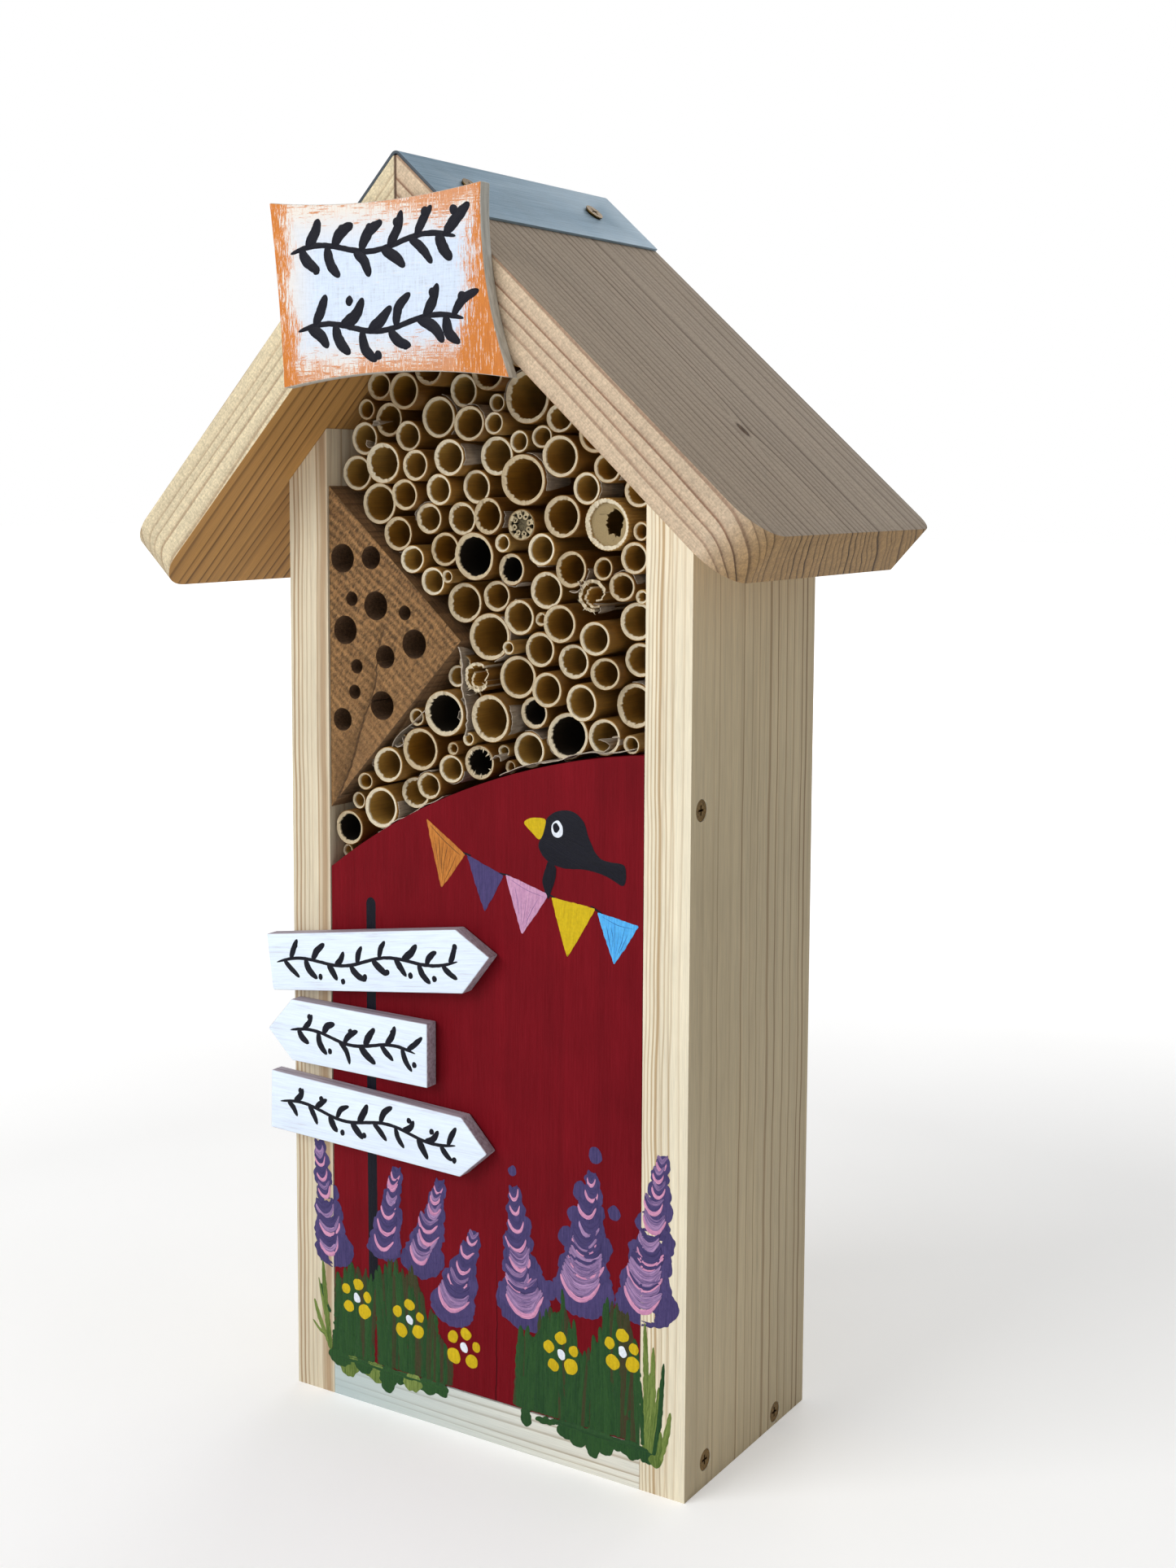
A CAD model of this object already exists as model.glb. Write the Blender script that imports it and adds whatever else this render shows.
import math
import random

import bmesh
import bpy
from mathutils import Matrix, Vector, noise
from mathutils.geometry import tessellate_polygon


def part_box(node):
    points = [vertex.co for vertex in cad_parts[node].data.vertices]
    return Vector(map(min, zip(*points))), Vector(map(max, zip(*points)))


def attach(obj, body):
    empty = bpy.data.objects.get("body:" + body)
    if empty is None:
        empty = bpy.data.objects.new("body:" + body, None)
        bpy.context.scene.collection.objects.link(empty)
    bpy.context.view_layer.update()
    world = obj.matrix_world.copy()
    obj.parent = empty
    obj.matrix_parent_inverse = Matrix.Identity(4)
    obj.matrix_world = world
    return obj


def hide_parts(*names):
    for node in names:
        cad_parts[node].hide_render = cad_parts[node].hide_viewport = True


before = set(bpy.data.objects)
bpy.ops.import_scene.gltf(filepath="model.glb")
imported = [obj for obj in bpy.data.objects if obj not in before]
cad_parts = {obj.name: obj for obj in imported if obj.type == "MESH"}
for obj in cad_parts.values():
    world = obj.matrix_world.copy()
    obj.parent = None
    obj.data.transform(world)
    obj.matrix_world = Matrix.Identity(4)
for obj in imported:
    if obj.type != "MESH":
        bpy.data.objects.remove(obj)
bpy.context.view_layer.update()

MM = 0.001
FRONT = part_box("side_board_right")[0].y / MM      # the plane of the house front
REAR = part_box("side_board_right")[1].y / MM
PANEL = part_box("front_panel")[0].y / MM           # the face of the red panel, just behind it
RIDGE_X, RIDGE_Z = -10.0, 434.0
LEFT_PITCH, RIGHT_PITCH = math.radians(46.5), math.radians(42.0)
dice = random.Random(7)


# ---- Node trees -------------------------------------------------------------------------------

class Nodes:
    """Builds a material's node tree. Each method adds one node and returns its output."""

    def __init__(self, name):
        self.mat = bpy.data.materials.new(name)
        self.mat.use_nodes = True
        self.tree = self.mat.node_tree
        self.tree.nodes.clear()

    def node(self, kind, values=(), out=0, **settings):
        n = self.tree.nodes.new(kind)
        for key, value in settings.items():
            setattr(n, key, value)
        for i, value in enumerate(values):
            self.put(n.inputs[i], value)
        return n.outputs[out]

    def put(self, socket, value):
        if value is None:
            return
        if isinstance(value, bpy.types.NodeSocket):
            self.tree.links.new(value, socket)
        elif socket.type == "RGBA":
            socket.default_value = tuple(value) + (1.0,) if len(value) == 3 else value
        else:
            socket.default_value = value

    def math(self, op, a, b=None, c=None, clamp=False):
        return self.node("ShaderNodeMath", (a, b, c), operation=op, use_clamp=clamp)

    def vector(self, op, a, b=None):
        out = 1 if op in ("DOT_PRODUCT", "LENGTH") else 0
        return self.node("ShaderNodeVectorMath", (a, b), out=out, operation=op)

    def xyz(self, x, y, z):
        return self.node("ShaderNodeCombineXYZ", (x, y, z))

    def place(self):
        """The point on the piece, in millimetres"""
        at = self.node("ShaderNodeTexCoord", out=3)
        scaled = self.tree.nodes.new("ShaderNodeVectorMath")
        scaled.operation = "SCALE"
        self.tree.links.new(at, scaled.inputs[0])
        scaled.inputs["Scale"].default_value = 1000.0
        return scaled.outputs[0]

    def split(self, v):
        n = self.tree.nodes.new("ShaderNodeSeparateXYZ")
        self.tree.links.new(v, n.inputs[0])
        return n.outputs[0], n.outputs[1], n.outputs[2]

    def noise(self, at, scale, detail=3.0, rough=0.55, warp=0.0, colour=False):
        n = self.tree.nodes.new("ShaderNodeTexNoise")
        self.put(n.inputs["Vector"], at)
        self.put(n.inputs["Scale"], scale)
        self.put(n.inputs["Detail"], detail)
        self.put(n.inputs["Roughness"], rough)
        self.put(n.inputs["Distortion"], warp)
        return n.outputs["Color" if colour else "Fac"]

    def ramp(self, at, stops, smooth=False):
        n = self.tree.nodes.new("ShaderNodeValToRGB")
        n.color_ramp.interpolation = "EASE" if smooth else "LINEAR"
        marks = n.color_ramp.elements
        while len(marks) < len(stops):
            marks.new(0.5)
        for mark, (pos, value) in zip(marks, stops):
            mark.position = pos
            shade = (value,) * 3 if isinstance(value, (int, float)) else value
            mark.color = tuple(shade) + (1.0,)
        self.put(n.inputs[0], at)
        return n.outputs[0]

    def mix(self, amount, a, b, mode="MIX"):
        n = self.tree.nodes.new("ShaderNodeMix")
        n.data_type = "RGBA"
        n.blend_type = mode
        for socket, value in ((n.inputs["Factor"], amount), (n.inputs[6], a), (n.inputs[7], b)):
            self.put(socket, value)
        return n.outputs[2]

    def shade(self, colour, amount):
        """The colour times a factor"""
        return self.mix(1.0, colour, self.xyz(amount, amount, amount), "MULTIPLY")

    def spread(self, value, low, high, to_low=0.0, to_high=1.0):
        n = self.tree.nodes.new("ShaderNodeMapRange")
        for i, v in enumerate((value, low, high, to_low, to_high)):
            self.put(n.inputs[i], v)
        return n.outputs[0]

    def attribute(self, name):
        return self.node("ShaderNodeAttribute", out=2, attribute_name=name)

    def finish(self, colour, rough, height=None, metal=0.0, height_mm=1.0, **more):
        bsdf = self.tree.nodes.new("ShaderNodeBsdfPrincipled")
        self.put(bsdf.inputs["Base Color"], colour)
        self.put(bsdf.inputs["Roughness"], rough)
        self.put(bsdf.inputs["Metallic"], metal)
        for key, value in more.items():
            self.put(bsdf.inputs[key.replace("_", " ")], value)
        if height is not None:
            bump = self.tree.nodes.new("ShaderNodeBump")
            bump.inputs["Distance"].default_value = height_mm * MM
            self.put(bump.inputs["Height"], height)
            self.tree.links.new(bump.outputs[0], bsdf.inputs["Normal"])
        out = self.tree.nodes.new("ShaderNodeOutputMaterial")
        self.tree.links.new(bsdf.outputs[0], out.inputs[0])
        return self.mat


# ---- Materials --------------------------------------------------------------------------------

def board_space(n, origin, grain, across):
    """Coordinates in a board: across its width, through its thickness and along the grain"""
    grain, across = Vector(grain).normalized(), Vector(across).normalized()
    at = n.vector("SUBTRACT", n.place(), tuple(origin))
    through = grain.cross(across)
    return [n.vector("DOT_PRODUCT", at, tuple(axis)) for axis in (across, through, grain)]


def growth_rings(n, a, b, g, pith, ring):
    """0 in the pale early wood, 1 in the dark late wood, for a log whose pith is at `pith`"""
    slow = n.noise(n.xyz(a, b, n.math("MULTIPLY", g, 0.12)), 0.025, 2.0, colour=True)
    wa, wb, _ = n.split(slow)
    a = n.math("ADD", n.math("SUBTRACT", a, pith[0]), n.math("MULTIPLY", wa, 9.0))
    b = n.math("ADD", n.math("SUBTRACT", b, pith[1]), n.math("MULTIPLY", wb, 7.0))
    fine = n.noise(n.xyz(a, b, n.math("MULTIPLY", g, 0.02)), 0.5, 2.0)
    r = n.math("SQRT", n.math("ADD", n.math("MULTIPLY", a, a), n.math("MULTIPLY", b, b)))
    uneven = n.noise(n.xyz(r, 0.0, 0.0), 0.11, 1.0)
    t = n.math("ADD", n.math("DIVIDE", r, ring), n.math("MULTIPLY", uneven, 2.2))
    t = n.math("ADD", t, n.math("MULTIPLY", fine, 0.08))
    turn = n.math("FRACT", t)
    each = n.node("ShaderNodeTexWhiteNoise", out=0, noise_dimensions="1D")
    n.tree.links.new(n.math("FLOOR", t), each.node.inputs["W"])
    line = n.ramp(turn, [(0.0, 0.0), (0.5, 0.04), (0.74, 0.34), (0.86, 1.0), (0.95, 1.0), (1.0, 0.0)])
    return n.math("MULTIPLY", line, n.spread(each, 0.0, 1.0, 0.45, 1.0))


def wood(name, origin, grain, across, pith, ring, early, late, rough=0.68, lines=1.0,
         patina=None, knot=None, saw=0.0, cool=0.0, fresh=0.0, bands=(), seam=False,
         turned=None):
    """Planed softwood. The rings run through the board, so face, edge and end grain agree.
    `bands` are single lines that stand out: place through the board, half width, strength.
    `seam` darkens the mitre at the ridge. `turned` gives the early and late wood of faces that
    look down the slope, and the colour changes gradually round the corner."""
    n = Nodes(name)
    a, b, g = board_space(n, origin, grain, across)
    extra = None
    if knot:
        da = n.math("SUBTRACT", a, knot[0])
        dg = n.math("MULTIPLY", n.math("SUBTRACT", g, knot[1]), 0.5)
        away = n.math("SQRT", n.math("ADD", n.math("MULTIPLY", da, da), n.math("MULTIPLY", dg, dg)))
        extra = n.math("DIVIDE", away, knot[2])
        swirl = n.math("MULTIPLY", n.math("EXPONENT", n.math("MULTIPLY", extra, -0.55)), 7.0)
        a = n.math("ADD", a, n.math("MULTIPLY", swirl, n.math("SIGN", da)))
    rings = n.math("MULTIPLY", growth_rings(n, a, b, g, pith, ring), lines)
    long_way = n.xyz(a, b, n.math("MULTIPLY", g, 0.03))
    fibre = n.noise(n.xyz(a, b, n.math("MULTIPLY", g, 0.02)), 3.5, 4.0, 0.65)
    streak = n.noise(long_way, 0.35, 3.0)
    cloud = n.noise(n.xyz(a, b, n.math("MULTIPLY", g, 0.35)), 0.03, 2.0)
    if turned:
        way, early_end, late_end = turned
        normal = n.node("ShaderNodeTexCoord", out=1)
        around = n.spread(n.vector("DOT_PRODUCT", normal, tuple(way)), 0.2, 0.95)
        early, late = n.mix(around, early, early_end), n.mix(around, late, late_end)
    colour = n.mix(rings, early, late)
    if patina:
        colour = n.mix(n.spread(streak, 0.35, 0.7, 0.0, 0.4), colour, patina)
    drift = n.math("MULTIPLY", n.math("SUBTRACT", n.noise(n.xyz(0.0, 0.0, g), 0.011, 2.0), 0.5), 5.0)
    for middle, half, strength in bands:
        off = n.math("ABSOLUTE", n.math("SUBTRACT", n.math("ADD", b, drift), middle))
        colour = n.mix(n.spread(off, half * 0.5, half * 1.5, strength, 0.0), colour, late)
    colour = n.shade(colour, n.spread(fibre, 0.3, 0.7, 0.83, 1.09))
    colour = n.shade(colour, n.spread(streak, 0.3, 0.7, 0.93, 1.05))
    colour = n.shade(colour, n.spread(cloud, 0.3, 0.7, 0.94, 1.05))
    if fresh:
        colour = n.shade(colour, n.spread(g, 200.0, 300.0, 0.98, 1.0 + fresh))
    if cool:
        colour = n.mix(n.spread(g, -66.0, 45.0, cool, 0.05), colour, (0.41, 0.52, 0.54))
    if seam:
        off = n.math("ABSOLUTE", n.math("SUBTRACT", n.split(n.place())[0], RIDGE_X))
        colour = n.mix(n.spread(off, 0.3, 0.8, 0.9, 0.0), colour, (0.09, 0.035, 0.015))
    height = n.math("ADD", n.math("MULTIPLY", rings, 0.05), n.math("MULTIPLY", fibre, 0.1))
    if saw:
        bite = n.noise(n.xyz(n.math("MULTIPLY", a, 0.4), n.math("MULTIPLY", b, 0.4), g), 0.9, 3.0)
        colour = n.shade(colour, n.spread(bite, 0.35, 0.7, 1.0 - 0.14 * saw, 1.05))
        height = n.math("ADD", height, n.math("MULTIPLY", bite, 0.35 * saw))
        speck = n.noise(n.xyz(a, b, g), 1.3, 2.0, 0.6)
        colour = n.shade(colour, n.spread(speck, 0.36, 0.64, 1.0 - 0.16 * saw, 1.0 + 0.1 * saw))
    if knot:
        core = n.ramp(extra, [(0.0, 1.0), (0.6, 0.95), (0.8, 0.3), (1.3, 0.0)])
        whorl = n.noise(n.xyz(extra, 0.0, 0.0), 4.0, 1.0)
        dark = n.mix(n.spread(whorl, 0.35, 0.65), (0.05, 0.027, 0.014), (0.16, 0.085, 0.04))
        colour = n.mix(core, colour, dark)
    return n.finish(colour, n.spread(fibre, 0.2, 0.8, rough - 0.08, rough + 0.1), height)


def red_paint():
    """Deep red satin paint, brushed upright over a board with a hairline crack"""
    n = Nodes("red_paint")
    x, y, z = n.split(n.place())
    brush = n.noise(n.xyz(x, y, n.math("MULTIPLY", z, 0.03)), 2.2, 4.0, 0.6)
    board = n.noise(n.xyz(x, y, n.math("MULTIPLY", z, 0.02)), 0.22, 3.0)
    cloud = n.noise(n.xyz(x, y, z), 0.03, 3.0)
    grit = n.noise(n.xyz(x, y, z), 5.0, 2.0)
    colour = n.mix(n.spread(brush, 0.35, 0.68), (0.150, 0.0035, 0.008), (0.182, 0.006, 0.012))
    colour = n.shade(colour, n.spread(board, 0.3, 0.7, 0.9, 1.08))
    colour = n.shade(colour, n.spread(cloud, 0.3, 0.7, 0.88, 1.08))
    wobble = n.math("MULTIPLY", n.noise(n.xyz(0.0, 0.0, z), 0.08, 3.0), 2.4)
    off = n.math("ABSOLUTE", n.math("SUBTRACT", n.math("SUBTRACT", x, 5.8), wobble))
    width = n.spread(z, 30.0, 78.0, 0.22, 0.0)
    crack = n.math("LESS_THAN", off, width)
    colour = n.mix(n.math("MULTIPLY", crack, 0.8), colour, (0.02, 0.002, 0.004))
    height = n.math("ADD", n.math("MULTIPLY", brush, 0.12), n.math("MULTIPLY", board, 0.25))
    height = n.math("ADD", height, n.math("MULTIPLY", grit, 0.02))
    height = n.math("SUBTRACT", height, n.math("MULTIPLY", crack, 0.5))
    return n.finish(colour, n.spread(brush, 0.3, 0.7, 0.5, 0.62), height, Specular_IOR_Level=0.05)


def white_paint(name, axis, origin=(0, 0, 0)):
    """White paint brushed thinly along a sign, with the grey wood showing through at its edges"""
    n = Nodes(name)
    up = Vector(axis).cross(Vector((0, 1, 0)))
    a, b, g = board_space(n, origin, axis, up)
    brush = n.noise(n.xyz(a, b, n.math("MULTIPLY", g, 0.045)), 1.7, 5.0, 0.65)
    thin = n.noise(n.xyz(a, b, n.math("MULTIPLY", g, 0.2)), 0.16, 3.0)
    cover = n.math("ADD", brush, n.math("MULTIPLY", n.math("SUBTRACT", thin, 0.5), 0.5))
    colour = n.ramp(cover, [(0.28, (0.64, 0.69, 0.80)), (0.38, (0.73, 0.83, 0.99)),
                            (0.6, (0.80, 0.91, 1.0))])
    grain = n.noise(n.xyz(a, b, n.math("MULTIPLY", g, 0.02)), 0.9, 4.0, 0.7)
    edge = n.mix(n.spread(grain, 0.35, 0.65), (0.30, 0.24, 0.29), (0.56, 0.52, 0.60))
    normal = n.node("ShaderNodeTexCoord", out=1)
    facing = n.math("MULTIPLY", n.split(normal)[1], -1.0)
    colour = n.mix(n.spread(facing, 0.5, 0.9), edge, colour)
    height = n.math("ADD", n.math("MULTIPLY", brush, 0.22), n.math("MULTIPLY", grain, 0.1))
    return n.finish(colour, n.spread(brush, 0.3, 0.7, 0.5, 0.68), height)


def gable_paint():
    """White in the middle with an orange border brushed crosswise over it"""
    n = Nodes("gable_paint")
    low, high = (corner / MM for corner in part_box("gable_sign"))
    x, y, z = n.split(n.place())
    u = n.spread(x, low.x, high.x)
    v = n.spread(z, low.z, high.z)
    side = n.math("MINIMUM", u, n.math("SUBTRACT", 1.0, u))
    rim = n.math("MULTIPLY", n.math("MINIMUM", v, n.math("SUBTRACT", 1.0, v)), 0.72)
    upright = n.noise(n.xyz(x, 0.0, n.math("MULTIPLY", z, 0.09)), 1.35, 4.0, 0.8)
    level = n.noise(n.xyz(n.math("MULTIPLY", x, 0.09), 0.0, z), 1.35, 4.0, 0.8)
    cloud = n.noise(n.xyz(x, 0.0, z), 0.07, 2.0)
    white = n.ramp(n.math("MULTIPLY", n.math("ADD", upright, level), 0.5),
                   [(0.36, (0.44, 0.49, 0.58)), (0.46, (0.60, 0.69, 0.83)), (0.6, (0.68, 0.79, 0.95))])
    warm = n.spread(n.math("MINIMUM", side, rim), 0.06, 0.21, 0.85, 0.0)
    white = n.mix(warm, white, (0.83, 0.755, 0.655))
    reach = n.math("ADD", n.math("MULTIPLY", n.math("SUBTRACT", cloud, 0.5), 0.16), n.spread(u, 0.3, 0.7, 0.085, 0.16))
    reach = n.math("ADD", reach, n.spread(v, 0.1, 0.75, 0.045, 0.0))
    dry_side = n.math("MULTIPLY", n.math("SUBTRACT", upright, 0.5), 0.45)
    dry_rim = n.math("MULTIPLY", n.math("SUBTRACT", n.math("MAXIMUM", upright, level), 0.605), 0.85)
    on_side = n.spread(n.math("ADD", n.math("SUBTRACT", reach, side), dry_side), -0.01, 0.015)
    on_rim = n.spread(n.math("ADD", n.math("SUBTRACT", reach, rim), dry_rim), -0.03, 0.015)
    dab = n.math("MAXIMUM", on_side, n.math("MULTIPLY", on_rim, 0.85), clamp=True)
    orange = n.mix(n.spread(upright, 0.34, 0.66), (0.50, 0.135, 0.007), (0.72, 0.235, 0.018))
    streak = n.spread(n.math("MAXIMUM", upright, level), 0.585, 0.66)
    scraped = n.spread(upright, 0.565, 0.605)
    colour = n.mix(n.math("MULTIPLY", streak, 0.35), white, (0.80, 0.56, 0.34))
    colour = n.mix(dab, colour, orange)
    colour = n.mix(n.math("MULTIPLY", scraped, 0.85), colour, white)
    grain = n.noise(n.xyz(x, y, n.math("MULTIPLY", z, 0.1)), 0.8, 4.0)
    edge = n.mix(n.spread(grain, 0.35, 0.65), (0.48, 0.46, 0.40), (0.70, 0.68, 0.61))
    normal = n.node("ShaderNodeTexCoord", out=1)
    facing = n.math("MULTIPLY", n.split(normal)[1], -1.0)
    colour = n.mix(n.spread(facing, 0.5, 0.9), edge, colour)
    height = n.math("MULTIPLY", n.math("ADD", upright, level), 0.14)
    return n.finish(colour, n.spread(upright, 0.3, 0.7, 0.5, 0.7), height)


def sheet_metal(name, colour_low, colour_high, grain=(1.0, 0.01, 1.0), rough=0.36):
    """Rolled sheet with fine scratches along one direction and dull patches"""
    n = Nodes(name)
    at = n.vector("MULTIPLY", n.place(), grain)
    fine = n.noise(at, 3.0, 5.0, 0.75)
    broad = n.noise(at, 0.35, 3.0)
    cloud = n.noise(n.place(), 0.05, 4.0, 0.6)
    specks = n.spread(n.noise(n.place(), 1.4, 3.0), 0.62, 0.72)
    colour = n.mix(n.spread(fine, 0.3, 0.7), colour_low, colour_high)
    colour = n.shade(colour, n.spread(cloud, 0.3, 0.7, 0.88, 1.06))
    colour = n.shade(colour, n.spread(specks, 0.0, 1.0, 1.0, 0.82))
    roughness = n.math("ADD", n.spread(fine, 0.3, 0.7, rough - 0.07, rough + 0.1),
                       n.spread(cloud, 0.3, 0.7, -0.04, 0.08))
    height = n.math("ADD", n.math("MULTIPLY", fine, 0.015), n.math("MULTIPLY", broad, 0.03))
    return n.finish(colour, roughness, height, metal=1.0)


def screw_metal(name, low, high):
    n = Nodes(name)
    at = n.place()
    scuff = n.noise(at, 1.6, 4.0, 0.7, warp=1.0)
    fine = n.noise(at, 9.0, 3.0)
    colour = n.mix(n.spread(scuff, 0.35, 0.65), low, high)
    rough = n.spread(scuff, 0.3, 0.7, 0.24, 0.46)
    return n.finish(colour, rough, n.math("MULTIPLY", fine, 0.03), metal=1.0)


def cane_skin(name, low, high):
    """Smooth golden cane skin with fine lengthwise lines; `tone` differs from tube to tube"""
    n = Nodes(name)
    tone = n.attribute("tone")
    x, y, z = n.split(n.place())
    lines = n.noise(n.xyz(x, n.math("MULTIPLY", y, 0.02), z), 2.4, 4.0, 0.6)
    blotch = n.noise(n.xyz(x, n.math("MULTIPLY", y, 0.3), z), 0.22, 3.0)
    colour = n.mix(tone, low, high)
    colour = n.shade(colour, n.spread(lines, 0.3, 0.7, 0.78, 1.12))
    colour = n.shade(colour, n.spread(blotch, 0.3, 0.7, 0.75, 1.15))
    return n.finish(colour, n.spread(lines, 0.3, 0.7, 0.34, 0.55), n.math("MULTIPLY", lines, 0.08))


def cane_cut(name, low, high):
    """Sawn cane end: pale, fibrous and speckled with tiny dark bundles"""
    n = Nodes(name)
    tone = n.attribute("tone")
    at = n.place()
    fibre = n.noise(at, 3.2, 4.0, 0.7)
    dots = n.spread(n.noise(at, 7.0, 1.0), 0.56, 0.66)
    colour = n.mix(tone, low, high)
    colour = n.shade(colour, n.spread(fibre, 0.3, 0.7, 0.8, 1.1))
    colour = n.mix(n.math("MULTIPLY", dots, 0.4), colour, (0.36, 0.25, 0.13))
    return n.finish(colour, 0.85, n.math("MULTIPLY", fibre, 0.25))


def cane_bore(name, low, high, dark=1.0):
    """The inside of a tube: fine lengthwise lines that darken towards the closed end"""
    n = Nodes(name)
    tone = n.attribute("tone")
    depth = n.attribute("depth")
    x, y, z = n.split(n.place())
    lines = n.noise(n.xyz(x, n.math("MULTIPLY", y, 0.03), z), 2.0, 4.0, 0.6)
    patch = n.noise(n.xyz(x, n.math("MULTIPLY", y, 0.5), z), 0.3, 3.0)
    colour = n.mix(tone, low, high)
    colour = n.shade(colour, n.spread(lines, 0.3, 0.7, 0.86, 1.1))
    colour = n.shade(colour, n.spread(patch, 0.3, 0.7, 0.85, 1.1))
    colour = n.shade(colour, n.spread(depth, 0.0, 0.5, dark, dark * 0.5))
    return n.finish(colour, 0.6, n.math("MULTIPLY", lines, 0.06))


def end_grain():
    """Rough-sawn end grain: close, nearly straight rings crossed by saw marks"""
    n = Nodes("block_end")
    x, y, z = n.split(n.place())
    turned = n.math("ADD", n.math("MULTIPLY", x, 0.62), n.math("MULTIPLY", z, 0.78))
    cross = n.math("SUBTRACT", n.math("MULTIPLY", x, 0.78), n.math("MULTIPLY", z, 0.62))
    bend = n.math("MULTIPLY", n.noise(n.xyz(x, 0.0, z), 0.03, 2.0), 14.0)
    row = n.math("ADD", turned, n.math("MULTIPLY", bend, 0.25))
    ridge = n.math("SINE", n.math("MULTIPLY", n.math("ADD", row, n.math("MULTIPLY", bend, 0.1)), 2.3))
    ring = n.noise(n.xyz(n.math("ADD", turned, bend), 0.0, 0.0), 0.42, 2.0)
    tuft = n.noise(n.xyz(n.math("MULTIPLY", row, 0.42), y, cross), 1.25, 3.0, 0.7)
    fuzz = n.noise(n.xyz(turned, y, cross), 1.7, 4.0, 0.8)
    upper = n.spread(z, 232.0, 292.0, 0.35, 1.0)
    relief = n.math("ADD", n.math("MULTIPLY", ridge, 0.16), n.math("MULTIPLY", n.math("SUBTRACT", tuft, 0.5), 1.7))
    relief = n.math("ADD", n.math("MULTIPLY", relief, upper), n.math("SUBTRACT", fuzz, 0.5))
    pores = n.noise(n.xyz(x, y, z), 4.5, 2.0)
    colour = n.mix(n.spread(ring, 0.32, 0.66), (0.30, 0.15, 0.052), (0.437, 0.235, 0.089))
    colour = n.shade(colour, n.spread(relief, -0.30, 0.32, 0.36, 1.45))
    colour = n.shade(colour, n.spread(z, 232.0, 300.0, 1.2, 1.1))
    colour = n.shade(colour, n.spread(pores, 0.35, 0.6, 0.8, 1.05))
    height = n.math("ADD", n.math("MULTIPLY", relief, 1.1), n.math("MULTIPLY", pores, 0.2))
    return n.finish(colour, 0.88, height)


def hole_wall():
    n = Nodes("block_hole")
    x, y, z = n.split(n.place())
    rings = n.noise(n.xyz(x, n.math("MULTIPLY", y, 0.6), z), 1.2, 4.0, 0.7)
    colour = n.mix(n.spread(rings, 0.3, 0.7), (0.055, 0.026, 0.010), (0.17, 0.09, 0.04))
    return n.finish(colour, 0.9, n.math("MULTIPLY", rings, 0.4))


def dry_sheath():
    """Papery leaf sheath"""
    n = Nodes("dry_sheath")
    x, y, z = n.split(n.place())
    lines = n.noise(n.xyz(x, n.math("MULTIPLY", y, 0.05), z), 1.6, 4.0, 0.7)
    cloud = n.noise(n.xyz(x, y, z), 0.12, 3.0)
    colour = n.mix(n.spread(lines, 0.3, 0.7), (0.30, 0.24, 0.18), (0.68, 0.60, 0.49))
    colour = n.shade(colour, n.spread(cloud, 0.3, 0.7, 0.6, 1.15))
    return n.finish(colour, 0.75, n.math("MULTIPLY", lines, 0.3))


def brush_paint(name, low, high, rough=0.5):
    """Artist's paint with streaks along each brush stroke"""
    n = Nodes(name)
    u, v, _ = n.split(n.node("ShaderNodeUVMap", uv_map="stroke"))
    tone = n.attribute("tone")
    streak = n.noise(n.xyz(n.math("MULTIPLY", u, 0.14), n.math("MULTIPLY", v, 2.0), n.math("MULTIPLY", tone, 9.0)), 1.0, 4.0, 0.7)
    grit = n.noise(n.place(), 1.1, 3.0)
    amount = n.math("ADD", n.spread(streak, 0.3, 0.7, -0.25, 0.85), n.math("MULTIPLY", tone, 0.4))
    colour = n.mix(n.math("MINIMUM", n.math("MAXIMUM", amount, 0.0), 1.0), low, high)
    colour = n.shade(colour, n.spread(grit, 0.3, 0.7, 0.9, 1.07))
    height = n.math("ADD", n.math("MULTIPLY", streak, 0.2), n.math("MULTIPLY", grit, 0.05))
    return n.finish(colour, n.spread(streak, 0.3, 0.7, rough - 0.08, rough + 0.1), height, Specular_IOR_Level=0.15)


# ---- Meshes -----------------------------------------------------------------------------------

class Shell:
    """Collects closed shells and turns them into one piece"""

    def __init__(self):
        self.verts, self.faces, self.mats = [], [], []
        self.tone, self.depth, self.uv = [], [], []

    def add(self, points, faces, mat=0, tone=0.5, depth=0.0, uv=None):
        base = len(self.verts)
        self.verts += [tuple(c * MM for c in p) for p in points]
        self.faces += [[base + i for i in f] for f in faces]
        self.mats += list(mat) if isinstance(mat, (list, tuple)) else [mat] * len(faces)
        count = len(points)
        self.tone += list(tone) if isinstance(tone, (list, tuple)) else [tone] * count
        self.depth += list(depth) if isinstance(depth, (list, tuple)) else [depth] * count
        self.uv += list(uv) if uv else [(p[0], p[2]) for p in points]

    def piece(self, name, mats, slot, nodes=(), smooth=35.0):
        mesh = bpy.data.meshes.new(name)
        mesh.from_pydata(self.verts, [], self.faces)
        for mat in mats:
            mesh.materials.append(mat)
        mesh.polygons.foreach_set("material_index", self.mats)
        for key, values in (("tone", self.tone), ("depth", self.depth)):
            mesh.attributes.new(key, "FLOAT", "POINT").data.foreach_set("value", values)
        layer = mesh.uv_layers.new(name="stroke")
        for loop in mesh.loops:
            layer.data[loop.index].uv = self.uv[loop.vertex_index]
        tidy = bmesh.new()
        tidy.from_mesh(mesh)
        bmesh.ops.recalc_face_normals(tidy, faces=tidy.faces)
        tidy.to_mesh(mesh)
        tidy.free()
        mesh.shade_smooth()
        mesh.set_sharp_from_angle(angle=math.radians(smooth))
        return settle(bpy.data.objects.new(name, mesh), slot, nodes)


def settle(obj, slot, nodes=()):
    if not obj.users_collection:
        bpy.context.scene.collection.objects.link(obj)
    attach(obj, "root")
    if nodes:
        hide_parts(*nodes)
    return obj


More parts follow.
